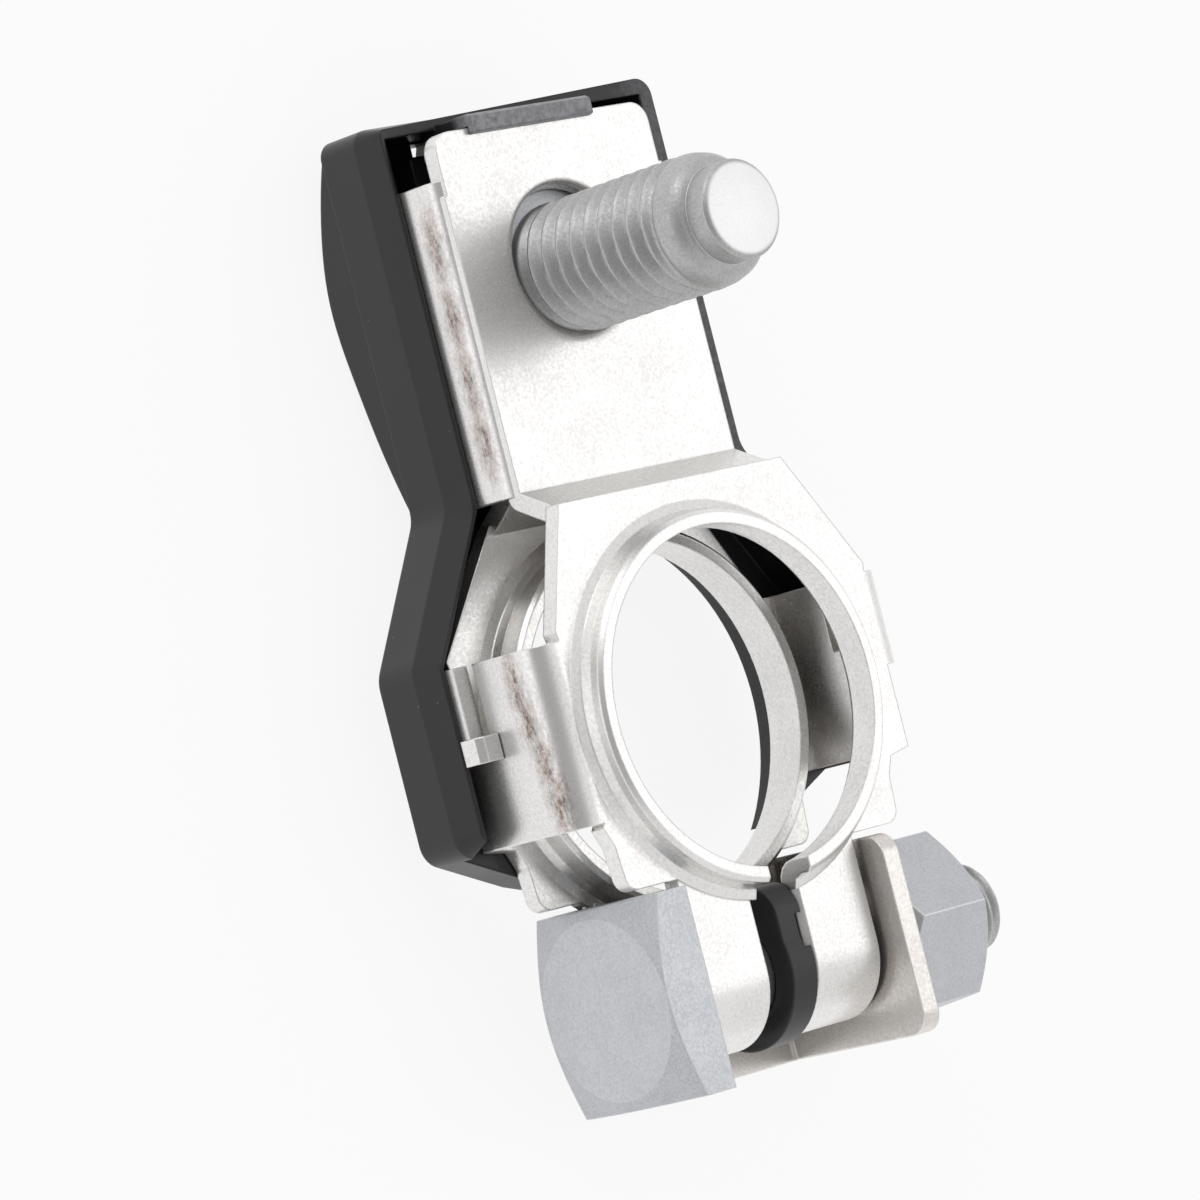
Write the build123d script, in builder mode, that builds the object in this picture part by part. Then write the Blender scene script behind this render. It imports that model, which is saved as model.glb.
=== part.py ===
from build123d import *
import os
from math import atan2, cos, pi, radians, sin, sqrt, tan

os.makedirs("parts", exist_ok=True)

# Frame: x runs from the battery post bore to the terminal stud, z is the post axis with the stud
# side up, y points to the square bolt head. z = 0 is the rim of the front collar, where the post
# ends.

# Sheet metal of the clamp
sheet = 1.1
box_depth = 8.8         # back plate outer face to front plate outer face
seat = 0.1              # gap between fixed parts that lie against each other

# Tapered bore for the large battery post, 1:9 on the diameter
bore_top_r = 9.95
taper = 1 / 18
rim_h = 1.65            # front collar above the front plate
back_rim_h = 3.5        # back collar above the outer face of the back plate
collar_wall = 0.9
draw_r = 1.3            # bore side radius where the sheet turns into the collar
draw_steps = 4
root_r = 0.8            # outer radius at the foot of the collar
rim_edge = 0.25

front_z = -rim_h
back_z = front_z - box_depth
mid_z = (front_z + back_z) / 2
back_rim_z = back_z + back_rim_h


def bore_r(z):
    return bore_top_r - z * taper


# Each collar ends in a short straight land, sized to the post at the middle of its height
front_land = front_z - sheet + draw_r
back_land = back_z + draw_r
front_r = bore_r(front_land / 2)
back_r = bore_r((back_land + back_rim_z) / 2)

# Clamping bolt through the ears
bolt_x = -15.6
bolt_d = 6.0
ear_in_r = bolt_d / 2 + 0.15
ear_out_r = ear_in_r + sheet
slit = 3.2
ear_w = 5.8
ear_root_x = -8.6
ear_edge = 0.4
ear_out_y = slit / 2 + ear_w

# Ring plate outline, half widths, and the side bridges
joggle_x = 12.6
plate_end_x = -9.3
root_y = 10.9
plate_corner_r = 0.9
bridge_x0 = -5.2
bridge_x1 = 5.4
bridge_y = 13.4         # outer face of the long bridge flange
seam = 0.08
lap_y = bridge_y + seam + sheet
lap_h = 2.95            # height of the short lapped flange
half_over = 1.1         # beside the lapped flange the long one ends this far past mid height
bend_r = 2.0
lap_bend_r = 1.4
tooth_x = 0.5
tooth_w = 1.5
tooth_h = 1.2
tooth_out = 0.45

# Tab that carries the stud
tab_drop = 3.3          # front plate down to the tab
tab_reach = 8.9         # tab beyond the stud axis
tab_half = 9.0
tab_flat_half = 8.4
tab_corner_r = 1.2
tab_bend_r = 1.3
flange_back = 2.7       # end of the side flanges behind the end of the tab
flange_h = 4.1
joggle_run = 1.6
joggle_r = 0.9
ramp_x = 12.4
ramp_run = 2.2
ramp_t = 0.6            # ramp thickness along x
tongue_half = 7.5
stud_x = 26.5
stud_d = 8.0
stud_head_w = 12.0
stud_head_t = 5.0
hole_x = stud_x + 0.3
hole_r = stud_d / 2 + 0.5
hole_flare = 0.45
tab_end_x = stud_x + tab_reach
flange_x1 = tab_end_x - flange_back
tongue_end_x = 0.3 * (ramp_x + ramp_run + ramp_t) + 0.7 * (stud_x - stud_head_w / 2)
tab_z = front_z - tab_drop
tab_under_z = tab_z - sheet
flange_z = tab_z - flange_h

# Square head bolt, nut and locking plate
head_w = 11.8
head_h = 10.7
head_t = 3.4
thread_slack = 0.06     # shank radius under the nut thread radius
bolt_tip_y = -19.4
bolt_point = 0.7
nut_flats = 10.0
nut_t = 6.1
nut_turn = 24
plate_t = 1.25
play = 0.3              # gap between parts that move on each other
lock_x0 = -21.6
lock_x1 = -9.7
lock_rise = 1.4         # upright leg above the front plate
lock_end_y = 8.2
lock_bend_r = 1.5
lock_corner_r = 1.3
post_gap = 0.6          # lock plate leg to the post, which gets wider below the clamp
lock_leg_z = mid_z - head_h / 2 - 0.4
lock_top_z = front_z + lock_rise

# Terminal stud
stud_rise = 14.7        # stud end above the tab
shoulder_h = 2.1
point_d = 5.8
point_h = 1.7
neck_d = 7.2            # plain neck in the tab's hole, at the rolled thread's mean diameter
neck_over = 0.2
thread_pitch = 1.25     # shown by plain grooves, shallower than the real thread
thread_cut = 0.5
crest_w = 0.4
stud_top_z = tab_z + stud_rise

# Spacer
spacer_t = 1.9
spacer_y = 0.4
spacer_wall = 0.35      # spacer beyond the outside of the ears
spacer_front_x = -10.9
notch_x = 1.7           # notch in the rim, from the bolt axis
notch_w = 2.0
notch_t = 0.5

# Moulded cover
wall = 0.95
wall_h = 4.8            # left wall, with a lip that leans in
right_wall_h = 7.0      # the right wall is taller and upright, and the end wall rises towards it
lip_h = 1.7
lip_lean = 22
end_lip = 0.35          # lean of the end wall's left end
cover_floor = 1.6
ring_floor = 2.4
hook_wall = 0.7
cover_half = tab_half + 0.15 + wall
cover_ring_half = lap_y + 0.05 + wall
cover_hole_r = 12.1
end_corner_r = 1.1
side_corner_r = 2.0
fork_corner_r = 1.5
kink_x = joggle_x + 1.8
flare_x = 5.8
fork_x = -4.9
fork_tip_x = -7.75
fork_tip_y = 9.35
belly_h = 2.6
belly_floor = 1.7
hook_half = 4.75
hook_y = 0.85           # middle of the hook, beside the core hole
hook_over = 0.4         # hook beyond the end of the tab
hook_t = 0.35
lip_in = lip_h * tan(radians(lip_lean))
hook_in_x = tab_end_x + seat
hook_x = hook_in_x + hook_wall
cover_end_x = hook_x + lip_in
cover_z = back_z - seat - ring_floor


def bent_flange(y, r, face, end, place):
    """Outline of a sheet strip that turns off a plate with outer face at z = face and runs to z = end."""
    d = 1 if end > face else -1
    q = sqrt(0.5)
    inner = r - sheet
    Polyline(place(y, face + d * r), place(y, end), place(y - sheet, end), place(y - sheet, face + d * r))
    ThreePointArc(place(y - sheet, face + d * r), place(y - r + inner * q, face + d * (r - inner * q)),
                  place(y - r, face + d * sheet))
    Polyline(place(y - r, face + d * sheet), place(y - r - 1, face + d * sheet), place(y - r - 1, face),
             place(y - r, face))
    ThreePointArc(place(y - r, face), place(y - r + r * q, face + d * (r - r * q)), place(y, face + d * r))


# One ear: the strip runs out from the ring, loops round the bolt and returns
with BuildPart() as ear_loop:
    root_mid_x = (bolt_x + ear_root_x) / 2
    with BuildSketch(Plane.XZ):
        with Locations((bolt_x, mid_z)):
            Circle(ear_out_r)
        with Locations((root_mid_x, mid_z)):
            Rectangle(ear_root_x - bolt_x, 2 * ear_out_r)
        with Locations((bolt_x, mid_z)):
            Circle(ear_in_r, mode=Mode.SUBTRACT)
        with Locations((root_mid_x + 0.5, mid_z)):
            Rectangle(ear_root_x - bolt_x + 1, 2 * ear_in_r, mode=Mode.SUBTRACT)
    extrude(amount=ear_w / 2, both=True)
    outer_rims = ear_loop.edges().filter_by(
        lambda e: abs(abs(e.center().Y) - ear_w / 2) < 0.01
        and (abs(abs(e.center().Z - mid_z) - ear_out_r) < 0.02 or e.center().X < bolt_x - ear_out_r * 0.55))
    chamfer(outer_rims, ear_edge)


def plate_outline(up, top):
    """Half widths of a ring plate; up is the side that carries the long bridge flange."""
    pts = []
    for s in (1, -1):
        y_bend = bridge_y - bend_r if s == up else lap_y - lap_bend_r
        y_side = y_bend + 0.1
        start = (joggle_x + 0.4, tab_half - 0.1) if top else (joggle_x + 0.4, tongue_half + 0.1)
        half = [start, (bridge_x1 + 0.5, y_side), (bridge_x1, y_bend), (bridge_x0, y_bend),
                (bridge_x0 - 0.3, root_y + 0.7), (bridge_x0 - 1.4, root_y + 0.2), (plate_end_x, root_y)]
        half = [(x, s * y) for x, y in half]
        pts += half if s == 1 else half[::-1]
    return pts


with BuildPart() as clamp_body:
    # front and back ring plates
    for top in (True, False):
        with BuildSketch(Plane.XY.offset(front_z - sheet if top else back_z)) as plate:
            Polygon(*plate_outline(1 if top else -1, top), align=None)
            fillet(plate.vertices().filter_by(lambda v: v.X < plate_end_x + 0.01), plate_corner_r)
        extrude(amount=sheet)
    # drawn collars, both turned towards the stud side
    for land_r, rim, face in ((front_r, 0, front_z), (back_r, back_rim_z, back_z + sheet)):
        ro = land_r + collar_wall
        k = root_r * (1 - sqrt(0.5))
        with BuildSketch(Plane.XZ):
            Polygon((ro + root_r, face), (ro + root_r, face - sheet), (land_r - 0.9, face - sheet),
                    (land_r - 0.9, rim), (ro - rim_edge, rim), (ro, rim - rim_edge), (ro, face + root_r),
                    (ro + k, face + k), align=None)
        revolve(axis=Axis.Z)
    # bridges: on each side a long flange from one plate and a short lapped one from the other
    for s in (1, -1):
        def turned(y, z):
            return (s * y, mid_z + s * (z - mid_z))

        lap_top_z = back_z + lap_h
        tooth_x0 = tooth_x - tooth_w / 2
        for x0, x1, y, r, face, end in (
                (bridge_x0, tooth_x0 + tooth_w, bridge_y, bend_r, front_z, back_z + sheet + seat),
                (bridge_x0, bridge_x1, bridge_y, bend_r, front_z, mid_z - half_over),
                (tooth_x0, bridge_x1, lap_y, lap_bend_r, back_z, lap_top_z)):
            with BuildSketch(Plane.YZ.offset(x0)):
                with BuildLine():
                    bent_flange(y, r, face, end, turned)
                make_face()
            extrude(amount=x1 - x0)
        # locking tooth of the lapped flange, over the edge of the cover
        tooth_z = cover_z + wall_h + play
        with BuildSketch(Plane.YZ.offset(tooth_x0)):
            Polygon(turned(lap_y - sheet, back_z + 2), turned(lap_y + tooth_out, tooth_z),
                    turned(lap_y + tooth_out, lap_top_z + 0.7 * tooth_h), turned(lap_y, lap_top_z + tooth_h),
                    turned(lap_y - sheet, lap_top_z + tooth_h), align=None)
        extrude(amount=tooth_w)
    # tab with its joggle down from the front plate
    joggle_end_x = joggle_x + joggle_run
    with BuildSketch(Plane.XZ) as joggle:
        Polygon((bore_top_r - 0.4, front_z), (joggle_x, front_z), (joggle_end_x, tab_z), (flange_x1 - 1, tab_z),
                (flange_x1 - 1, tab_under_z), (joggle_end_x - 0.7, tab_under_z),
                (joggle_x - 0.7, front_z - sheet), (bore_top_r - 0.4, front_z - sheet), align=None)
        fillet(joggle.vertices().filter_by(
            lambda v: abs(v.X - joggle_x) < 0.01 or abs(v.X - joggle_end_x + 0.7) < 0.01), joggle_r)
    extrude(amount=tab_half - tab_bend_r * 0.3, both=True)
    with BuildSketch(Plane.XY.offset(tab_under_z)) as tab_flat:
        Polygon((joggle_end_x + 1.8, tab_flat_half), (tab_end_x, tab_flat_half), (tab_end_x, -tab_flat_half),
                (joggle_end_x + 1.8, -tab_flat_half), align=None)
        fillet(tab_flat.vertices().filter_by(lambda v: v.X > tab_end_x - 0.01), tab_corner_r)
    extrude(amount=sheet)
    # turned down side flanges of the tab
    for s in (1, -1):
        with BuildSketch(Plane.YZ.offset(joggle_end_x - 0.1)):
            with BuildLine():
                bent_flange(tab_half, tab_bend_r, tab_z, flange_z, lambda y, z: (s * y, z))
            make_face()
        extrude(amount=flange_x1 - joggle_end_x + 0.1)
    # tongue of the back plate that rises under the tab
    with BuildSketch(Plane.XZ):
        Polygon((bore_top_r - 0.4, back_z), (ramp_x + ramp_t, back_z),
                (ramp_x + ramp_t + ramp_run, tab_under_z - sheet), (tongue_end_x, tab_under_z - sheet),
                (tongue_end_x, tab_under_z), (ramp_x + ramp_run, tab_under_z),
                (ramp_x, back_z + sheet), (bore_top_r - 0.4, back_z + sheet), align=None)
    extrude(amount=tongue_half, both=True)
    # stud hole with its drawn rim
    with Locations((hole_x, 0, tab_under_z)):
        Cone(hole_r, hole_r + hole_flare, sheet, align=(Align.CENTER, Align.CENTER, Align.MIN),
             mode=Mode.SUBTRACT)
    # ears
    for s in (1, -1):
        add(ear_loop.part.moved(Location((0, s * (slit + ear_w) / 2, 0))))
    # bore, with the drawn radius on the entry side of both collars, turned in short cones
    def drawn_round(r, z):
        turns = [pi / 2 * i / draw_steps for i in range(draw_steps + 1)]
        return [(r + draw_r * (1 - sin(a)), z + draw_r * (1 - cos(a))) for a in turns]

    with BuildSketch(Plane.XZ):
        Polygon((back_r, back_rim_z), *drawn_round(front_r, front_z - sheet), (front_r, 1), (0, 1),
                (0, back_z - 1), (back_r + draw_r, back_z - 1), *drawn_round(back_r, back_z), align=None)
    revolve(axis=Axis.Z, mode=Mode.SUBTRACT)
    # slit between the ears, through both collars
    slit_x0 = bolt_x - ear_out_r - 1
    slit_x1 = -bore_top_r / 2
    with Locations(((slit_x0 + slit_x1) / 2, 0, mid_z)):
        Box(slit_x1 - slit_x0, slit, 2 * box_depth, mode=Mode.SUBTRACT)
clamp_body.part.label = "clamp_body"
export_step(clamp_body.part, "parts/clamp_body.step")

# Terminal stud: square captive head below the tab, grooved shank, rounded shoulder and a dog point
with BuildPart() as terminal_stud:
    head_z = tab_under_z - seat
    with BuildSketch(Plane.XY.offset(head_z - stud_head_t)):
        with Locations((stud_x, 0)):
            RectangleRounded(stud_head_w, stud_head_w, 1.2)
    extrude(amount=stud_head_t)
    rs, rp, rn = stud_d / 2, point_d / 2, neck_d / 2
    z_point = stud_top_z - point_h
    z_shoulder = z_point - shoulder_h
    z_neck = tab_z + neck_over
    grooves = []
    for i in range(int((z_shoulder - z_neck) / thread_pitch)):
        z_crest = z_neck + i * thread_pitch + crest_w
        grooves += [(rs, z_crest), (rs - thread_cut, z_crest + (thread_pitch - crest_w) / 2),
                    (rs, z_crest + thread_pitch - crest_w)]
    with BuildSketch(Plane.XZ.move(Location((stud_x, 0, 0)))):
        Polygon((0, head_z - 1), (rn, head_z - 1), (rn, z_neck - (rs - rn)), (rs, z_neck), *grooves,
                (rs, z_shoulder), (rs - 0.06, z_shoulder + 0.35 * shoulder_h), (rs - 0.25, z_shoulder + 0.68 * shoulder_h),
                (rp + 0.5, z_point - 0.1), (rp + 0.2, z_point), (rp, z_point), (rp, stud_top_z - 0.25),
                (rp - 0.25, stud_top_z), (0, stud_top_z), align=None)
    revolve(axis=Axis((stud_x, 0, 0), (0, 0, 1)))
terminal_stud.part.label = "terminal_stud"
export_step(terminal_stud.part, "parts/terminal_stud.step")

# Square head bolt; its axis runs against y through both ears
head_base_y = ear_out_y + seat
shank_r = bolt_d / 2 - thread_slack
bolt_len = head_base_y - bolt_tip_y
with BuildPart(Plane(origin=(bolt_x, head_base_y, mid_z), x_dir=(1, 0, 0), z_dir=(0, -1, 0))) as clamp_bolt:
    Box(head_w, head_h, head_t, align=(Align.CENTER, Align.CENTER, Align.MAX))
    Cone(head_h / 2 - 0.05, head_h / 2 + 7.2, head_t, align=(Align.CENTER, Align.CENTER, Align.MAX),
         mode=Mode.INTERSECT)
    Cylinder(shank_r, bolt_len - bolt_point, align=(Align.CENTER, Align.CENTER, Align.MIN))
    with Locations((0, 0, bolt_len - bolt_point)):
        Cone(shank_r, shank_r - 0.65, bolt_point, align=(Align.CENTER, Align.CENTER, Align.MIN))
clamp_bolt.part.label = "clamp_bolt"
export_step(clamp_bolt.part, "parts/clamp_bolt.step")

# Locking plate: one leg under the nut, the other behind the ears and below the bolt head
plate_in_y = -ear_out_y - play
with BuildPart() as lock_plate:
    with BuildSketch(Plane.YZ.offset(lock_x0)) as profile:
        zb, yo = lock_leg_z - plate_t, plate_in_y - plate_t
        Polygon((yo, zb), (lock_end_y, zb), (lock_end_y, lock_leg_z), (plate_in_y, lock_leg_z),
                (plate_in_y, lock_top_z), (yo, lock_top_z), align=None)
        fillet(profile.vertices().filter_by(
            lambda v: abs(v.X - yo) < 0.01 and abs(v.Y - zb) < 0.01), lock_bend_r)
        fillet(profile.vertices().filter_by(
            lambda v: abs(v.X - plate_in_y) < 0.01 and abs(v.Y - lock_leg_z) < 0.01), lock_bend_r / 5)
    extrude(amount=lock_x1 - lock_x0)
    tips = lock_plate.edges().filter_by(Axis.Y).filter_by(lambda e: e.center().Z > lock_top_z - 0.01)
    fillet(tips, lock_corner_r)
    ends = lock_plate.edges().filter_by(Axis.Z).filter_by(lambda e: e.center().Y > lock_end_y - 0.01)
    fillet(ends, lock_corner_r)
    with Locations((0, 0, lock_leg_z)):
        Cylinder(back_r + post_gap, 3 * plate_t, mode=Mode.SUBTRACT)
    with Locations(Location((bolt_x, plate_in_y, mid_z), (90, 0, 0))):
        Cylinder(bolt_d / 2 + play, 4 * plate_t, mode=Mode.SUBTRACT)
lock_plate.part.label = "lock_plate"
export_step(lock_plate.part, "parts/lock_plate.step")

# Hexagon nut with both faces chamfered
nut_y = plate_in_y - plate_t - play
nut_plane = Plane(origin=(bolt_x, nut_y, mid_z), x_dir=(1, 0, 0), z_dir=(0, -1, 0))
with BuildPart(nut_plane) as clamp_nut:
    with BuildSketch(nut_plane):
        RegularPolygon(nut_flats / 2, 6, major_radius=False, rotation=nut_turn)
    extrude(amount=nut_t)
    r_face = nut_flats / 2 - 0.1
    r_far = r_face + nut_t * sqrt(3)
    Cone(r_far, r_face, nut_t, align=(Align.CENTER, Align.CENTER, Align.MIN), mode=Mode.INTERSECT)
    Cone(r_face, r_far, nut_t, align=(Align.CENTER, Align.CENTER, Align.MIN), mode=Mode.INTERSECT)
    Cylinder(bolt_d / 2, 3 * nut_t, mode=Mode.SUBTRACT)
clamp_nut.part.label = "clamp_nut"
export_step(clamp_nut.part, "parts/clamp_nut.step")

# Plastic spacer in the slit between the ears
with BuildPart() as spacer_ring:
    spacer_r = ear_out_r + spacer_wall
    with BuildSketch(Plane.XZ.offset(-spacer_y)) as ring_sk:
        with Locations((bolt_x, mid_z)):
            Circle(spacer_r)
        with Locations(((bolt_x + spacer_front_x) / 2, mid_z)):
            Rectangle(spacer_front_x - bolt_x, 2 * spacer_r - 0.4)
        fillet(ring_sk.vertices().filter_by(lambda v: v.X > spacer_front_x - 0.1), 1.8)
        with Locations((bolt_x, mid_z)):
            Circle(bolt_d / 2 + seat, mode=Mode.SUBTRACT)
    extrude(amount=spacer_t)
    with Locations((bolt_x + notch_x, spacer_y - spacer_t, mid_z + ear_out_r)):
        Box(notch_w, 2 * notch_t, 3.0, mode=Mode.SUBTRACT)
spacer_ring.part.label = "spacer_ring"
export_step(spacer_ring.part, "parts/spacer_ring.step")

# Moulded cover: a tray behind the tab that widens into an open ring around the post


def tray_side(inset, end_inset, open_end=False):
    """Outline of one side from the end wall to the fork, moved in by inset, and by end_inset at the end."""
    flare = atan2(cover_ring_half - cover_half, kink_x - flare_x)
    shift = inset * tan(flare / 2)
    side = [(cover_end_x - end_inset, cover_half - inset), (kink_x - shift, cover_half - inset),
            (flare_x - shift, cover_ring_half - inset)]
    if open_end:
        return side + [(fork_tip_x - 12, cover_ring_half - inset)]
    fork = atan2(cover_ring_half - fork_tip_y, fork_x - fork_tip_x)
    return side + [(fork_x + inset * tan(fork / 2), cover_ring_half - inset),
                   (fork_tip_x + inset / sin(fork), fork_tip_y)]


def tray_outline(left, right, left_end, right_end, open_end=False):
    other = [(x, -y) for x, y in tray_side(right, right_end, open_end)]
    return tray_side(left, left_end, open_end) + other[::-1]


with BuildPart() as insulator_cover:
    # straight wall, then the lip of the left side that leans in, and the rest up to the right wall
    for low, high in ((0, wall_h - lip_h), (wall_h - lip_h, wall_h), (wall_h, right_wall_h)):
        for level in (low, high):
            lean = lip_in if level >= wall_h else 0
            lean_end = end_lip if level >= wall_h else 0
            with BuildSketch(Plane.XY.offset(cover_z + level)) as tray:
                Polygon(*tray_outline(lean, 0, lean_end, 0), align=None)
                for x, r in ((cover_end_x, end_corner_r), (kink_x, side_corner_r),
                             (flare_x, side_corner_r), (fork_x, fork_corner_r)):
                    for s in (1, -1):
                        inset = lean if s == 1 else 0
                        turn = inset if x == kink_x else -inset
                        fillet(tray.vertices().filter_by(lambda v: abs(v.X - x) < lip_in + 0.1 and v.Y * s > 0),
                               r + turn)
        loft(ruled=True)
    with BuildSketch(Plane.YZ.offset(-cover_end_x)):
        Polygon((2 * cover_ring_half, cover_z + wall_h), (cover_half - end_corner_r, cover_z + wall_h),
                (end_corner_r - cover_half, cover_z + right_wall_h), (end_corner_r - cover_half, 0),
                (2 * cover_ring_half, 0), align=None)
    extrude(amount=2 * cover_end_x + 1, mode=Mode.SUBTRACT)
    # swelling behind the captive head of the stud
    belly_end_x = cover_end_x - 0.7
    with BuildSketch(Plane.XZ):
        with BuildLine():
            Spline((belly_end_x, cover_z), (belly_end_x - 4.1, cover_z - belly_h * 0.67),
                   (stud_x + 1.3, cover_z - belly_h), (stud_x - 3.6, cover_z - belly_h * 0.81),
                   (stud_x - 7.7, cover_z - belly_h * 0.5), (kink_x, cover_z))
            Polyline((kink_x, cover_z), (kink_x, cover_z + 0.5), (belly_end_x, cover_z + 0.5),
                     (belly_end_x, cover_z))
        make_face()
    extrude(amount=cover_half - 0.2, both=True)
    # hollow
    with BuildSketch(Plane.XY.offset(cover_z + ring_floor)):
        Polygon(*tray_outline(wall, wall, wall, wall, open_end=True), align=None)
    extrude(amount=right_wall_h, mode=Mode.SUBTRACT)
    with Locations(((kink_x + cover_end_x - wall) / 2, 0, cover_z + cover_floor)):
        Box(cover_end_x - wall - kink_x, 2 * (cover_half - wall), right_wall_h,
            align=(Align.CENTER, Align.CENTER, Align.MIN), mode=Mode.SUBTRACT)
    with Locations((stud_x + 0.3, 0, cover_z - belly_h + belly_floor)):
        Box(stud_head_w + 1.4, stud_head_w + 1.6, belly_h + cover_floor,
            align=(Align.CENTER, Align.CENTER, Align.MIN), mode=Mode.SUBTRACT)
    # opening round the post
    with Locations((0, 0, cover_z - 1)):
        Cylinder(cover_hole_r, ring_floor + 2, align=(Align.CENTER, Align.CENTER, Align.MIN), mode=Mode.SUBTRACT)
    with Locations((0, 0, cover_z - 0.01)):
        Cone(cover_hole_r + 0.5, cover_hole_r, 0.5, align=(Align.CENTER, Align.CENTER, Align.MIN),
             mode=Mode.SUBTRACT)
    # hook over the end of the tab
    hook_z = tab_z + seat / 2
    with BuildSketch(Plane.XZ.offset(-hook_y)):
        Polygon((hook_x, cover_z + wall_h - 1), (hook_x, hook_z), (hook_x - 0.2, hook_z + hook_t),
                (tab_end_x - hook_over + 0.1, hook_z + hook_t), (tab_end_x - hook_over, hook_z),
                (hook_in_x, hook_z), (hook_in_x, cover_z + wall_h - 1), align=None)
    extrude(amount=hook_half, both=True)
    # snap finger in the corner and the core hole beside it
    with Locations((flange_x1 + 1.2, 5.4, cover_z + 1)):
        Box(1.6, 2.0, 2.4, align=(Align.CENTER, Align.CENTER, Align.MIN))
    with Locations((flange_x1 + 2.75, 3.55, cover_z)):
        Box(0.75, 2.0, 6, mode=Mode.SUBTRACT)
insulator_cover.part.label = "insulator_cover"
export_step(insulator_cover.part, "parts/insulator_cover.step")
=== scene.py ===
from math import ceil, cos, hypot, pi, radians, sin, sqrt

import bmesh
import bpy
from mathutils import Matrix, Vector


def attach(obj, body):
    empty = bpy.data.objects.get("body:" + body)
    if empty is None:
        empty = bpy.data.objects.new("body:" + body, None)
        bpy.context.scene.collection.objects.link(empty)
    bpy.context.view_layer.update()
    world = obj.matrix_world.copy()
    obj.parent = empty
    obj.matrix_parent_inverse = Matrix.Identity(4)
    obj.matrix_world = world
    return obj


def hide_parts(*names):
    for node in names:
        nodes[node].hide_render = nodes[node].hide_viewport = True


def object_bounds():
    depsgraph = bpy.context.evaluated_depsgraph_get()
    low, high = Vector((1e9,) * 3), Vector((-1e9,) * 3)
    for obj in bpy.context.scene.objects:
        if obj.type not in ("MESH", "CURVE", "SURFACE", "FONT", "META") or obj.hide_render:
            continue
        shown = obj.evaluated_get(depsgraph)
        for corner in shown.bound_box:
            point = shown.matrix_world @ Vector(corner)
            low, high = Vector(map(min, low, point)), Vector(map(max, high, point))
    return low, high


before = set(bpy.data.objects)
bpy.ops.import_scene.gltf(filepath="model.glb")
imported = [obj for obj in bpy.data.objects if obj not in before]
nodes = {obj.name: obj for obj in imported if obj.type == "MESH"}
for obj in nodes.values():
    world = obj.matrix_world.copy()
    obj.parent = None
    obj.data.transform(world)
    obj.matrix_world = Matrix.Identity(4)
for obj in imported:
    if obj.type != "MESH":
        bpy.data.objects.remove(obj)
cad_low, cad_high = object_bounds()

# Clamp body
# One strip of tinned sheet steel, stamped, drawn and folded into two rings with collars, two lapped
# bridges, the ears round the bolt and the tab for the cable lug.
MM = 0.001
# the real grain of the tin is about 0.05 mm, drawn four times coarser so that it shows
TIN_GRAIN = 0.2
TIN_CLOUD = 3.5
TIN_SCUFF = 0.9
SCUFF_GREY = "#b3aeaa"
# the folding tool rubbed the tab's left bend and the left bridge's bend, both along x: points on
# them, how far the wear reaches from each, and the size of its streaks
TAB_BEND = [(29.0, 9.0, -6.4), (25.0, 9.0, -6.4), (21.0, 9.0, -6.4), (17.5, 9.0, -6.4)]
BRIDGE_BEND = [(3.6, 13.4, -4.0), (1.2, 13.4, -3.6), (-1.2, 13.3, -3.2), (-3.4, 13.2, -2.9)]
RUB_REACH = (8.0, 2.3, 2.5)
RUB_STREAK = 0.45
RUB_STRETCH = (0.45, 1.0, 1.0)
RUBBED_BROWN = "#947c74"
SCRATCH_BROWN = "#5c4f49"
# rounding of the sheared edges, and the white of their painted highlight
SHEARED_EDGE_R = 0.15
EDGE_HIGHLIGHT_WHITE = "#fbfaf8"
# how far the painted shade in the folds looks for enclosing surfaces, and its grey
FOLD_DEPTH = 7.0
FOLD_SHADE_GREY = "#9f9993"
# cosine between a face and its rounded edge, where the edge begins and where it is full
EDGE_BEGINS = 0.99
EDGE_FULL = 0.9


def linear(code):
    """An sRGB hex colour as linear red, green, blue and alpha."""
    parts = [int(code[i:i + 2], 16) / 255 for i in (1, 3, 5)]
    return [c / 12.92 if c <= 0.04045 else ((c + 0.055) / 1.055) ** 2.4 for c in parts] + [1.0]


def add(tree, kind, inputs=None, **settings):
    """Adds one node with its settings; an input takes a value or another node's output."""
    made = tree.nodes.new(kind)
    for name, value in settings.items():
        setattr(made, name, value)
    for name, value in (inputs or {}).items():
        if isinstance(value, bpy.types.NodeSocket):
            tree.links.new(value, made.inputs[name])
        else:
            made.inputs[name].default_value = value
    return made


def new_material(name):
    """An empty material and its node tree."""
    material = bpy.data.materials.new(name)
    material.use_nodes = True
    material.node_tree.nodes.clear()
    return material, material.node_tree


def per_mm(size):
    """Noise scale for features about this many millimetres across."""
    return 1 / (size * MM)


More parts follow.
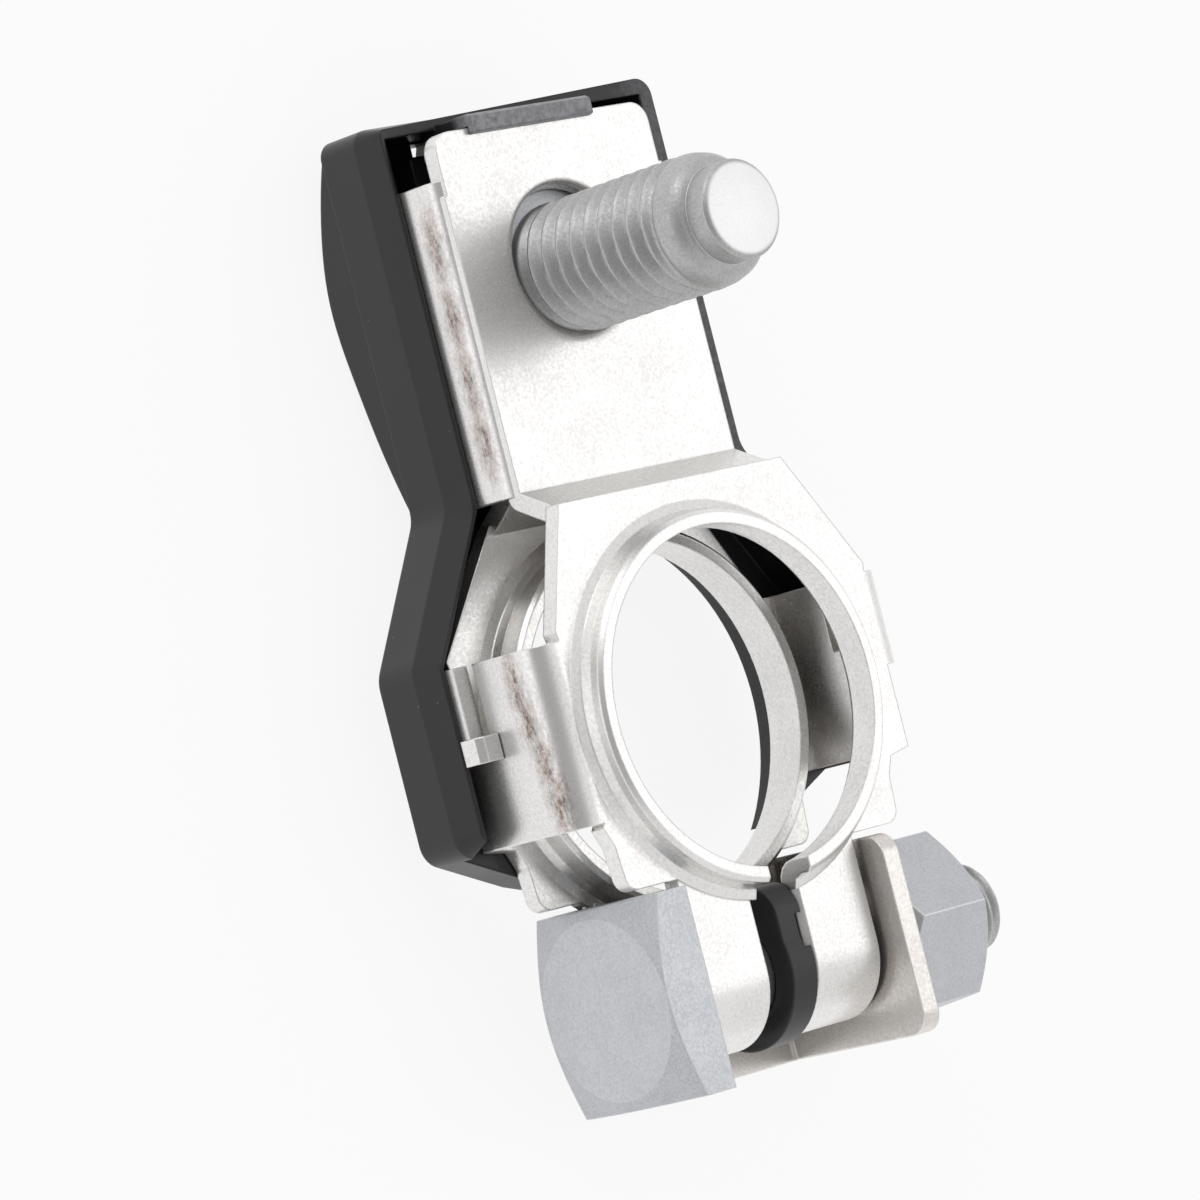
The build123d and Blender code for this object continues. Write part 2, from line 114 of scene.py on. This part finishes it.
def matt_tin(name, light, shade, worn_places=()):
    """Matt electroplated tin on pressed steel: nearly white, softly mirroring, with a fine rolled
    grain and small scuffs. The brown of the steel shows where a tool rubbed a bend, the sheared
    edges have a painted highlight, and the folds are painted grey where they are enclosed: painted
    shade."""
    material, tree = new_material(name)
    place = add(tree, "ShaderNodeTexCoord").outputs["Object"]
    grain = add(tree, "ShaderNodeTexNoise", {"Vector": place, "Scale": per_mm(TIN_GRAIN),
                                            "Detail": 4.0, "Roughness": 0.65})
    cloud = add(tree, "ShaderNodeTexNoise", {"Vector": place, "Scale": per_mm(TIN_CLOUD),
                                            "Detail": 5.0})
    tone = add(tree, "ShaderNodeMath", {0: cloud.outputs["Fac"], 1: 0.3, 2: grain.outputs["Fac"]},
               operation="MULTIPLY_ADD")
    dull = add(tree, "ShaderNodeMapRange", {"Value": tone.outputs[0], "From Min": 0.72,
                                           "From Max": 0.5})
    scuff = add(tree, "ShaderNodeTexNoise", {"Vector": place, "Scale": per_mm(TIN_SCUFF),
                                            "Detail": 9.0, "Roughness": 0.75, "Distortion": 0.6})
    mark = add(tree, "ShaderNodeMapRange", {"Value": scuff.outputs["Fac"], "From Min": 0.67,
                                           "From Max": 0.74, "To Max": 0.5})
    layers = [(dull, shade), (mark, SCUFF_GREY)]

    if worn_places:
        # short streaks along the bend, mottled with darker scratches
        stretched = add(tree, "ShaderNodeMapping", {"Vector": place, "Scale": RUB_STRETCH})
        streak = add(tree, "ShaderNodeTexNoise", {"Vector": stretched.outputs["Vector"],
                                                 "Scale": per_mm(RUB_STREAK), "Detail": 9.0,
                                                 "Roughness": 0.9})
        wear = 0.0
        for centre in worn_places:
            away = add(tree, "ShaderNodeVectorMath", {0: place, 1: [c * MM for c in centre]},
                       operation="SUBTRACT")
            scaled = add(tree, "ShaderNodeVectorMath",
                         {0: away.outputs[0], 1: [1 / (r * MM) for r in RUB_REACH]},
                         operation="MULTIPLY")
            far = add(tree, "ShaderNodeVectorMath", {0: scaled.outputs[0]}, operation="LENGTH")
            near = add(tree, "ShaderNodeMapRange", {"Value": far.outputs["Value"],
                                                   "From Min": 1.0, "From Max": 0.1})
            wear = add(tree, "ShaderNodeMath", {0: wear, 1: near.outputs[0]},
                       operation="MAXIMUM").outputs[0]
        worn = add(tree, "ShaderNodeMath", {0: wear, 1: streak.outputs["Fac"]},
                   operation="MULTIPLY")
        stain = add(tree, "ShaderNodeMapRange", {"Value": worn.outputs[0], "From Min": 0.34,
                                                "From Max": 0.52, "To Max": 0.7})
        scratch = add(tree, "ShaderNodeMapRange", {"Value": worn.outputs[0], "From Min": 0.5,
                                                  "From Max": 0.56, "To Max": 0.7})
        layers += [(stain, RUBBED_BROWN), (scratch, SCRATCH_BROWN)]

    # painted highlight on the edges left by the shear, and painted shade in the folds
    rounded = add(tree, "ShaderNodeBevel", {"Radius": SHEARED_EDGE_R * MM}, samples=8)
    plain = add(tree, "ShaderNodeNewGeometry").outputs["Normal"]
    along = add(tree, "ShaderNodeVectorMath", {0: rounded.outputs[0], 1: plain},
                operation="DOT_PRODUCT")
    edge_highlight = add(tree, "ShaderNodeMapRange", {"Value": along.outputs["Value"],
                                              "From Min": EDGE_BEGINS, "From Max": EDGE_FULL,
                                              "To Max": 0.75})
    # painted shade: where ambient occlusion finds the folds enclosed, the tin is painted grey
    open_air = add(tree, "ShaderNodeAmbientOcclusion", {"Distance": FOLD_DEPTH * MM}, samples=6)
    fold_shade = add(tree, "ShaderNodeMapRange", {"Value": open_air.outputs["AO"], "From Min": 0.5,
                                           "From Max": 0.1, "To Max": 0.75})
    layers += [(edge_highlight, EDGE_HIGHLIGHT_WHITE), (fold_shade, FOLD_SHADE_GREY)]

    colour = linear(light)
    for mask, over in layers:
        colour = add(tree, "ShaderNodeMix", {0: mask.outputs[0], 6: colour, 7: linear(over)},
                     data_type="RGBA").outputs[2]
    rough = add(tree, "ShaderNodeMapRange", {"Value": tone.outputs[0], "From Min": 0.5,
                                            "From Max": 0.8, "To Min": 0.36, "To Max": 0.26})
    bump = add(tree, "ShaderNodeBump", {"Height": tone.outputs[0], "Strength": 0.14,
                                        "Distance": 0.03 * MM, "Normal": rounded.outputs[0]})
    shader = add(tree, "ShaderNodeBsdfPrincipled", {"Base Color": colour, "Metallic": 0.85,
                                                   "Roughness": rough.outputs[0],
                                                   "Normal": bump.outputs[0]})
    add(tree, "ShaderNodeOutputMaterial", {"Surface": shader.outputs[0]})
    return material


def wears(node, material):
    """A CAD node takes this material on all its faces, smooth but for its sharp edges."""
    mesh = nodes[node].data
    mesh.materials.clear()
    mesh.materials.append(material)
    for polygon in mesh.polygons:
        polygon.use_smooth = True
    mesh.set_sharp_from_angle(angle=radians(35))


tinned_sheet = matt_tin("matt_tin_on_pressed_steel", light="#f5f4f2", shade="#e7e5e3",
                        worn_places=TAB_BEND + BRIDGE_BEND)
wears("clamp_body", tinned_sheet)


def ring_stack(rings, closed=True):
    """A mesh from rings of points with the same count, joined by quads and closed at its ends."""
    mesh = bmesh.new()
    rows = [[mesh.verts.new(p) for p in ring] for ring in rings]
    count = len(rows[0])
    for a, b in zip(rows, rows[1:]):
        for i in range(count):
            j = (i + 1) % count
            mesh.faces.new((a[i], a[j], b[j], b[i]))
    if closed:
        mesh.faces.new(rows[0][::-1])
        mesh.faces.new(rows[-1])
    return mesh


def piece(name, mesh, materials, body, replaced=None, angle=40):
    """Makes an object of a mesh in millimetres, smooth but for edges sharper than angle."""
    mesh.normal_update()
    data = bpy.data.meshes.new(name)
    for face in mesh.faces:
        face.smooth = True
    for edge in mesh.edges:
        if len(edge.link_faces) == 2 and edge.calc_face_angle() > radians(angle):
            edge.smooth = False
    mesh.to_mesh(data)
    mesh.free()
    data.transform(Matrix.Scale(MM, 4))
    for material in materials:
        data.materials.append(material)
    made = bpy.data.objects.new(name, data)
    bpy.context.scene.collection.objects.link(made)
    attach(made, body)
    if replaced:
        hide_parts(replaced)
    return made


# the sheet was punched a little off the stud's axis, and the rim of the hole pressed down
TAB_TOP = -4.95
RIM_AT = (26.8, 0.0)
HOLE_AT = (27.06, 0.12)
AROUND = 72
# centre, radius and height over the tab of each ring, from the rim inwards and down
RIM_RINGS = ((RIM_AT, 5.02, 0.006), (HOLE_AT, 4.66, 0.006), (HOLE_AT, 4.5, -0.1),
             (HOLE_AT, 4.36, -0.4), (HOLE_AT, 4.3, -1.0))
rim_rings = []
for (cx, cy), r, height in RIM_RINGS:
    turns = [2 * pi * i / AROUND for i in range(AROUND)]
    rim_rings.append([(cx + r * cos(a), cy + r * sin(a), TAB_TOP + height) for a in turns])
piece("stud_hole_rim", ring_stack(rim_rings, closed=False), [tinned_sheet], "clamp")

# Terminal stud
# A cold headed steel stud with a rolled M8 thread, a rounded shoulder and a dog point, zinc plated.
# Its square head sits under the tab.
STUD_X = 26.5
STUD_TOP = 9.75
HEAD_TOP = -6.15
HEAD_WIDE = 12.0
HEAD_DEEP = 5.0
HEAD_CORNER_R = 1.2
HEAD_CORNER_STEPS = 6
HEAD_EDGE = 0.25
HEAD_TOP_EDGE = 0.15
# crystals of about 0.05 mm, drawn three times coarser so that they show
ZINC_SPECKLE = 0.15
ZINC_CLOUD = 2.2
POINT_WHITE = "#f8f8f8"


def zinc_plate(name, light, shade, edge, rough, edge_radius, point_z=None):
    """Dull electroplated zinc on cold formed steel: light grey, finely speckled, with a painted
    highlight on its edges and, for a stud, whiter over the end face of its point."""
    material, tree = new_material(name)
    place = add(tree, "ShaderNodeTexCoord").outputs["Object"]
    speckle = add(tree, "ShaderNodeTexNoise", {"Vector": place, "Scale": per_mm(ZINC_SPECKLE),
                                              "Detail": 3.0})
    cloud = add(tree, "ShaderNodeTexNoise", {"Vector": place, "Scale": per_mm(ZINC_CLOUD),
                                            "Detail": 6.0})
    tone = add(tree, "ShaderNodeMath",
               {0: cloud.outputs["Fac"], 1: 0.35, 2: speckle.outputs["Fac"]},
               operation="MULTIPLY_ADD")
    dull = add(tree, "ShaderNodeMapRange", {"Value": tone.outputs[0], "From Min": 0.8,
                                           "From Max": 0.55})
    layers = [(dull, shade)]
    if point_z is not None:
        height = add(tree, "ShaderNodeSeparateXYZ", {"Vector": place}).outputs["Z"]
        point = add(tree, "ShaderNodeMapRange", {"Value": height,
                                                "From Min": (point_z - 0.06) * MM,
                                                "From Max": (point_z - 0.02) * MM, "To Max": 0.9})
        layers.append((point, POINT_WHITE))
    # painted highlight: the edges are painted towards the edge colour
    rounded = add(tree, "ShaderNodeBevel", {"Radius": edge_radius * MM}, samples=8)
    plain = add(tree, "ShaderNodeNewGeometry").outputs["Normal"]
    along = add(tree, "ShaderNodeVectorMath", {0: rounded.outputs[0], 1: plain},
                operation="DOT_PRODUCT")
    edge_highlight = add(tree, "ShaderNodeMapRange", {"Value": along.outputs["Value"],
                                              "From Min": EDGE_BEGINS, "From Max": EDGE_FULL,
                                              "To Max": 0.8})
    layers.append((edge_highlight, edge))
    colour = linear(light)
    for mask, over in layers:
        colour = add(tree, "ShaderNodeMix", {0: mask.outputs[0], 6: colour, 7: linear(over)},
                     data_type="RGBA").outputs[2]
    roughness = add(tree, "ShaderNodeMapRange", {"Value": tone.outputs[0], "From Min": 0.5,
                                                "From Max": 0.85, "To Min": rough + 0.06,
                                                "To Max": rough - 0.06})
    bump = add(tree, "ShaderNodeBump", {"Height": tone.outputs[0], "Strength": 0.3,
                                        "Distance": 0.03 * MM, "Normal": rounded.outputs[0]})
    shader = add(tree, "ShaderNodeBsdfPrincipled", {"Base Color": colour, "Metallic": 0.9,
                                                   "Roughness": roughness.outputs[0],
                                                   "Normal": bump.outputs[0]})
    add(tree, "ShaderNodeOutputMaterial", {"Surface": shader.outputs[0]})
    return material


rolled_zinc = zinc_plate("zinc_on_rolled_thread", light="#c5c5c5", shade="#b8b8b8",
                         edge="#f6f6f6", rough=0.46, edge_radius=0.08, point_z=STUD_TOP)
forged_zinc = zinc_plate("zinc_on_forged_head", light="#d0d2d6", shade="#c6c8cc",
                         edge="#fbfbfd", rough=0.46, edge_radius=0.16)


def thread_depth(turn):
    """Depth of a rolled thread over one pitch, 0 on the crest and 1 in the root."""
    turn = turn % 1.0
    crest = 0.12
    flank = 0.36
    if turn < crest:
        return 0.0
    if turn < crest + flank:
        return (turn - crest) / flank
    if turn < 1 - flank:
        return 1.0
    return (1 - turn) / flank


def threaded_rings(profile, pitch, depth, start, end, runout, around=96, rows_per_pitch=12):
    """Rings of a turned bar along z; profile is (height, radius) pairs, threaded from start to
    end, and the thread fades in and out over runout."""
    rows = ceil((end - start) / pitch * rows_per_pitch)
    heights = sorted({h for h, r in profile} | {start, end}
                     | {start + i * pitch / rows_per_pitch for i in range(rows)})

    def radius(h):
        for (h0, r0), (h1, r1) in zip(profile, profile[1:]):
            if h0 <= h <= h1:
                return r0 + (r1 - r0) * (h - h0) / (h1 - h0)
        return profile[-1][1]

    rings = []
    for h in heights:
        fade = min(1.0, max(0.0, (h - start) / runout), max(0.0, (end - h) / runout))
        ring = []
        for i in range(around):
            a = 2 * pi * i / around
            r = radius(h) - depth * fade * thread_depth(h / pitch - a / (2 * pi))
            ring.append((r * cos(a), r * sin(a), h))
        rings.append(ring)
    return rings


def placed(rings, origin, x_axis, z_axis):
    """Rings made along z from zero, moved to an origin and turned to lie along these axes."""
    z = Vector(z_axis)
    x = Vector(x_axis)
    y = z.cross(x)
    o = Vector(origin)
    return [[o + x * p[0] + y * p[1] + z * p[2] for p in ring] for ring in rings]


# height over the head and radius: the shank, its rounded shoulder, and the dog point
STUD_PROFILE = [(0, 3.98), (12.1, 3.98), (12.85, 3.92), (13.5, 3.76), (14.05, 3.38),
                (14.2, 3.1), (14.25, 2.9), (15.65, 2.9), (15.85, 2.72), (15.9, 2.5)]
stud_rings = threaded_rings(STUD_PROFILE, pitch=1.25, depth=0.62, start=0.4, end=12.6, runout=0.7)
stud_mesh = ring_stack(placed(stud_rings, (STUD_X, 0, HEAD_TOP), (1, 0, 0), (0, 0, 1)))
piece("stud_thread", stud_mesh, [rolled_zinc], "clamp", "terminal_stud")


def rounded_square(half, corner_r):
    """Points round a square with rounded corners, about zero."""
    inset = half - corner_r
    points = []
    for cx, cy, turn in ((inset, inset, 0), (-inset, inset, 1), (-inset, -inset, 2),
                         (inset, -inset, 3)):
        for i in range(HEAD_CORNER_STEPS + 1):
            a = pi / 2 * (turn + i / HEAD_CORNER_STEPS)
            points.append((cx + corner_r * cos(a), cy + corner_r * sin(a)))
    return points


head_side = rounded_square(HEAD_WIDE / 2, HEAD_CORNER_R)
head_end = rounded_square(HEAD_WIDE / 2 - HEAD_EDGE, HEAD_CORNER_R - HEAD_EDGE)
head_rings = [[(x + STUD_X, y, z) for x, y in outline]
              for outline, z in ((head_end, HEAD_TOP - HEAD_DEEP),
                                 (head_side, HEAD_TOP - HEAD_DEEP + HEAD_EDGE),
                                 (head_side, HEAD_TOP - HEAD_TOP_EDGE),
                                 (head_end, HEAD_TOP))]
piece("stud_head", ring_stack(head_rings), [forged_zinc], "clamp")

# Spacer
# A moulded ring of black nylon that fills the slit between the ears. The bolt goes through it and
# keeps it in place.
BLACK_DUST = 1.7
DUST_GREY = "#8b8a8e"
BLACK_EDGE_R = 0.2
# the painted highlight on the cover's top band: the size of its mottle, how far down it reaches,
# and its grey
TOP_SHEEN_GRAIN = 0.5
TOP_SHEEN_DEPTH = 1.2
TOP_SHEEN_GREY = "#9b9a9f"


def moulded_black(name, base, rough, grain, sheen_top_z=None):
    """Black injection moulded plastic with a fine satin grain, which takes a soft grey sheen and
    holds a few specks of dust; given a top height, its uppermost band is painted grey in a mottle:
    a painted highlight."""
    material, tree = new_material(name)
    place = add(tree, "ShaderNodeTexCoord").outputs["Object"]
    fine = add(tree, "ShaderNodeTexNoise", {"Vector": place, "Scale": per_mm(grain),
                                           "Detail": 2.0})
    patch = add(tree, "ShaderNodeTexNoise", {"Vector": place, "Scale": per_mm(6.0),
                                            "Detail": 4.0})
    roughness = add(tree, "ShaderNodeMapRange", {"Value": patch.outputs["Fac"], "From Min": 0.3,
                                                "From Max": 0.7, "To Min": rough - 0.04,
                                                "To Max": rough + 0.04})
    dust = add(tree, "ShaderNodeTexVoronoi", {"Vector": place, "Scale": per_mm(BLACK_DUST)})
    specks = add(tree, "ShaderNodeMapRange", {"Value": dust.outputs["Distance"],
                                             "From Min": 0.045, "From Max": 0.02, "To Max": 0.4})
    layers = [(specks, DUST_GREY)]
    # painted highlight: the top band of the cover is painted grey in a mottle
    if sheen_top_z is not None:
        height = add(tree, "ShaderNodeSeparateXYZ", {"Vector": place}).outputs["Z"]
        top = add(tree, "ShaderNodeMapRange", {"Value": height,
                                              "From Min": (sheen_top_z - TOP_SHEEN_DEPTH) * MM,
                                              "From Max": sheen_top_z * MM})
        sheen_mottle = add(tree, "ShaderNodeTexNoise", {"Vector": place, "Scale": per_mm(TOP_SHEEN_GRAIN),
                                                "Detail": 6.0, "Roughness": 0.7})
        top_sheen = add(tree, "ShaderNodeMath", {0: top.outputs[0], 1: sheen_mottle.outputs["Fac"]},
                     operation="MULTIPLY")
        grey = add(tree, "ShaderNodeMapRange", {"Value": top_sheen.outputs[0], "From Min": 0.1,
                                               "From Max": 0.6, "To Max": 0.9})
        layers.append((grey, TOP_SHEEN_GREY))
    colour = linear(base)
    for mask, over in layers:
        colour = add(tree, "ShaderNodeMix", {0: mask.outputs[0], 6: colour, 7: linear(over)},
                     data_type="RGBA").outputs[2]
    rounded = add(tree, "ShaderNodeBevel", {"Radius": BLACK_EDGE_R * MM}, samples=8)
    bump = add(tree, "ShaderNodeBump", {"Height": fine.outputs["Fac"], "Strength": 0.2,
                                        "Distance": 0.02 * MM, "Normal": rounded.outputs[0]})
    shader = add(tree, "ShaderNodeBsdfPrincipled", {"Base Color": colour,
                                                   "Roughness": roughness.outputs[0],
                                                   "Normal": bump.outputs[0], "IOR": 1.5})
    add(tree, "ShaderNodeOutputMaterial", {"Surface": shader.outputs[0]})
    return material


black_nylon = moulded_black("satin_black_nylon", base="#29282b", rough=0.42, grain=0.12)
wears("spacer_ring", black_nylon)

# Clamping bolt
# A square head steel bolt with a rolled M6 thread, zinc plated. It goes through both ears, and the
# locking plate keeps its head from turning.
BOLT_X = -15.6
MID_Z = -6.05
HEAD_BASE_Y = 7.5
TIP_Y = -19.4
BOLT_HEAD_X = 11.8
BOLT_HEAD_Z = 10.7
BOLT_HEAD_HIGH = 3.4
BOLT_FLAT_R = BOLT_HEAD_Z / 2 - 0.05
BOLT_CHAMFER_SLOPE = 0.45
BOLT_R = 2.94
# the chamfer's zinc is painted a little darker than the head's flat: painted shade for its tilted
# faces
chamfer_shade_zinc = zinc_plate("zinc_with_painted_chamfer_shade", light="#c7c9cd", shade="#bdbfc3",
                          edge="#fbfbfd", rough=0.5, edge_radius=0.16)


def outline_of(corners, per_side):
    """Points along a closed outline, each corner once and the sides divided evenly."""
    points = []
    for (x0, y0), (x1, y1) in zip(corners, corners[1:] + corners[:1]):
        for i in range(per_side):
            points.append((x0 + (x1 - x0) * i / per_side, y0 + (y1 - y0) * i / per_side))
    return points


def on_circle(outline, r, height):
    """The points of an outline drawn in to a circle, at this height."""
    return [(x * r / hypot(x, y), y * r / hypot(x, y), height) for x, y in outline]


def on_cone(outline, flat_r, slope, height):
    """The points of an outline on a cone that falls away outside flat_r from this height."""
    return [(x, y, height - max(0.0, hypot(x, y) - flat_r) * slope) for x, y in outline]


half_x = BOLT_HEAD_X / 2
half_z = BOLT_HEAD_Z / 2
bolt_outline = outline_of([(half_x, half_z), (-half_x, half_z), (-half_x, -half_z),
                           (half_x, -half_z)], per_side=24)
bolt_head_rings = [on_circle(bolt_outline, BOLT_FLAT_R * 0.6, 0.0),
                   [(x, y, 0.0) for x, y in bolt_outline],
                   on_cone(bolt_outline, BOLT_FLAT_R, BOLT_CHAMFER_SLOPE, BOLT_HEAD_HIGH),
                   on_circle(bolt_outline, BOLT_FLAT_R, BOLT_HEAD_HIGH),
                   on_circle(bolt_outline, BOLT_FLAT_R * 0.5, BOLT_HEAD_HIGH)]
bolt_head_mesh = ring_stack(placed(bolt_head_rings, (BOLT_X, HEAD_BASE_Y, MID_Z), (-1, 0, 0),
                                   (0, 1, 0)))
bolt_head_mesh.normal_update()
# the chamfer faces take the darker zinc: painted shade
for face in bolt_head_mesh.faces:
    middle = face.calc_center_median()
    if face.normal.y > 0.5 and hypot(middle.x - BOLT_X, middle.z - MID_Z) > BOLT_FLAT_R:
        face.material_index = 1
piece("bolt_head", bolt_head_mesh, [forged_zinc, chamfer_shade_zinc], "clamp",
      "clamp_bolt", angle=25)
bolt_length = HEAD_BASE_Y - TIP_Y
bolt_profile = [(0, BOLT_R), (bolt_length - 0.9, BOLT_R), (bolt_length - 0.15, 2.3),
                (bolt_length, 2.1)]
bolt_rings = threaded_rings(bolt_profile, pitch=1.0, depth=0.5, start=14.0, end=bolt_length,
                            runout=0.5, around=72)
bolt_mesh = ring_stack(placed(bolt_rings, (BOLT_X, HEAD_BASE_Y, MID_Z), (1, 0, 0), (0, -1, 0)))
piece("bolt_shank", bolt_mesh, [rolled_zinc], "clamp")

# Locking plate
# A strip of tinned sheet steel, bent to a right angle. Its upright leg lies under the nut, and its
# long leg runs behind the ears to the bolt's head.
# the plate's tin is painted a little darker than the clamp body's: painted shade for its face
# beside the ears
shaded_tinned_plate = matt_tin("matt_tin_on_bent_plate", light="#e9e5e1", shade="#dbd6d1")
wears("lock_plate", shaded_tinned_plate)

# Nut
# A plain M6 hexagon nut, forged, chamfered on both faces and zinc plated. It draws the ears
# together over the locking plate.
NUT_Y = -9.25
NUT_FLATS = 10.0
NUT_DEEP = 6.1
NUT_TURN = 24
NUT_FLAT_R = NUT_FLATS / 2 - 0.1
NUT_CHAMFER_SLOPE = 0.577
NUT_BORE_R = 3.0
BORE_CHAMFER = 0.5
nut_r = NUT_FLATS / sqrt(3)
nut_corners = [(nut_r * cos(radians(60 * i + NUT_TURN)), nut_r * sin(radians(60 * i + NUT_TURN)))
               for i in range(6)]
nut_outline = outline_of(nut_corners, per_side=12)
nut_rings = [on_circle(nut_outline, NUT_BORE_R, BORE_CHAMFER),
             on_circle(nut_outline, NUT_BORE_R + BORE_CHAMFER, 0.0),
             on_circle(nut_outline, NUT_FLAT_R, 0.0),
             on_cone(nut_outline, NUT_FLAT_R, -NUT_CHAMFER_SLOPE, 0.0),
             on_cone(nut_outline, NUT_FLAT_R, NUT_CHAMFER_SLOPE, NUT_DEEP),
             on_circle(nut_outline, NUT_FLAT_R, NUT_DEEP),
             on_circle(nut_outline, NUT_BORE_R + BORE_CHAMFER, NUT_DEEP),
             on_circle(nut_outline, NUT_BORE_R, NUT_DEEP - BORE_CHAMFER)]
nut_rings = placed(nut_rings + nut_rings[:1], (BOLT_X, NUT_Y, MID_Z), (1, 0, 0), (0, -1, 0))
piece("nut", ring_stack(nut_rings, closed=False), [forged_zinc], "nut",
      "clamp_nut", angle=25)

# Insulating cover
# Black polypropylene, injection moulded, clipped over the back of the clamp: a tray behind the tab
# that widens into an open ring round the post.
COVER_TOP = -5.2
black_polypropylene = moulded_black("satin_black_polypropylene", base="#222124", rough=0.36,
                                    grain=0.15, sheen_top_z=COVER_TOP)
wears("insulator_cover", black_polypropylene)

# Floor, light and camera
# A sheet of white paper in a white room, lit by three softboxes. The paper's size and the places
# of the softboxes are in metres.
FLOOR_HALF = 0.8
PAPER_SEEN = 0.88
PAPER_MIRRORED = 0.86
floor_mesh = bmesh.new()
bmesh.ops.create_grid(floor_mesh, x_segments=2, y_segments=2, size=FLOOR_HALF)
floor_data = bpy.data.meshes.new("floor")
floor_mesh.to_mesh(floor_data)
floor_mesh.free()
floor = bpy.data.objects.new("floor", floor_data)
floor.location = (0, 0, cad_low[2])
bpy.context.scene.collection.objects.link(floor)
paper, paper_tree = new_material("white_paper")
seen = add(paper_tree, "ShaderNodeLightPath")
glow = add(paper_tree, "ShaderNodeEmission", {"Color": linear("#ffffff"), "Strength": 1.0})
matt = add(paper_tree, "ShaderNodeBsdfDiffuse", {"Color": linear("#f4f4f4")})
# seen directly or in a reflection the paper is nearly white, and still keeps a soft shadow
mirrored = add(paper_tree, "ShaderNodeMath",
               {0: seen.outputs["Is Glossy Ray"], 1: PAPER_MIRRORED}, operation="MULTIPLY")
direct = add(paper_tree, "ShaderNodeMath",
             {0: seen.outputs["Is Camera Ray"], 1: PAPER_SEEN}, operation="MULTIPLY")
share = add(paper_tree, "ShaderNodeMath", {0: direct.outputs[0], 1: mirrored.outputs[0]},
            operation="MAXIMUM")
mixed = add(paper_tree, "ShaderNodeMixShader", {0: share.outputs[0], 1: matt.outputs[0],
                                               2: glow.outputs[0]})
add(paper_tree, "ShaderNodeOutputMaterial", {"Surface": mixed.outputs[0]})
floor_data.materials.append(paper)

# white walls and ceiling, and a dark opening on the side that the photograph was taken from
WALL_LIGHT = 0.82
OPENING_LIGHT = 0.3
OPENING = (-0.03, 0.669, 0.743)
OPENING_BEGINS = 46
OPENING_FULL = 16
world = bpy.data.worlds.new("studio")
bpy.context.scene.world = world
world.use_nodes = True
room = world.node_tree
room.nodes.clear()
rays = add(room, "ShaderNodeLightPath")
white = add(room, "ShaderNodeBackground", {"Color": linear("#ffffff"), "Strength": 1.0})
heading = add(room, "ShaderNodeTexCoord").outputs["Generated"]
facing = add(room, "ShaderNodeVectorMath", {0: heading, 1: OPENING}, operation="DOT_PRODUCT")
wall = add(room, "ShaderNodeMapRange", {"Value": facing.outputs["Value"],
                                       "From Min": cos(radians(OPENING_BEGINS)),
                                       "From Max": cos(radians(OPENING_FULL)),
                                       "To Min": WALL_LIGHT, "To Max": OPENING_LIGHT},
           interpolation_type="SMOOTHSTEP")
walls = add(room, "ShaderNodeBackground", {"Color": linear("#ffffff"),
                                          "Strength": wall.outputs[0]})
pick = add(room, "ShaderNodeMixShader", {0: rays.outputs["Is Camera Ray"], 1: walls.outputs[0],
                                        2: white.outputs[0]})
add(room, "ShaderNodeOutputWorld", {"Surface": pick.outputs[0]})

AIM = (0.005, 0, -0.005)


def softbox(name, at, size, watts):
    """A square softbox that faces the clamp."""
    lamp = bpy.data.lights.new(name, "AREA")
    lamp.shape = "SQUARE"
    lamp.size = size
    lamp.energy = watts
    made = bpy.data.objects.new(name, lamp)
    made.location = at
    made.rotation_euler = (Vector(AIM) - Vector(at)).to_track_quat("-Z", "Y").to_euler()
    bpy.context.scene.collection.objects.link(made)


softbox("key", at=(0.03, -0.34, 0.44), size=0.32, watts=0.19)
softbox("side", at=(0.5, 0.2, 0.3), size=0.3, watts=0.4)
softbox("low", at=(0.08, 0.55, 0.06), size=0.3, watts=0.15)

# the camera stands where the photograph's perspective puts it: the eye and the lens in millimetres
EYE = Vector((-4.678, 273.794, 293.707)) * MM
FORWARD = Vector((0.02971, -0.66917, -0.74252))
UP = Vector((0.96889, -0.16333, 0.18596))
LENS = 210.26
SENSOR_WIDE = 36
NEAREST = 0.01
right = FORWARD.cross(UP).normalized()
up = right.cross(FORWARD).normalized()
camera = bpy.data.objects.new("camera", bpy.data.cameras.new("camera"))
camera.data.lens = LENS
camera.data.sensor_width = SENSOR_WIDE
camera.data.clip_start = NEAREST
turn = Matrix((right, up, -FORWARD)).transposed()
camera.matrix_world = Matrix.Translation(EYE) @ turn.to_4x4()
bpy.context.scene.collection.objects.link(camera)
bpy.context.scene.camera = camera
bpy.context.scene.view_settings.view_transform = "Standard"
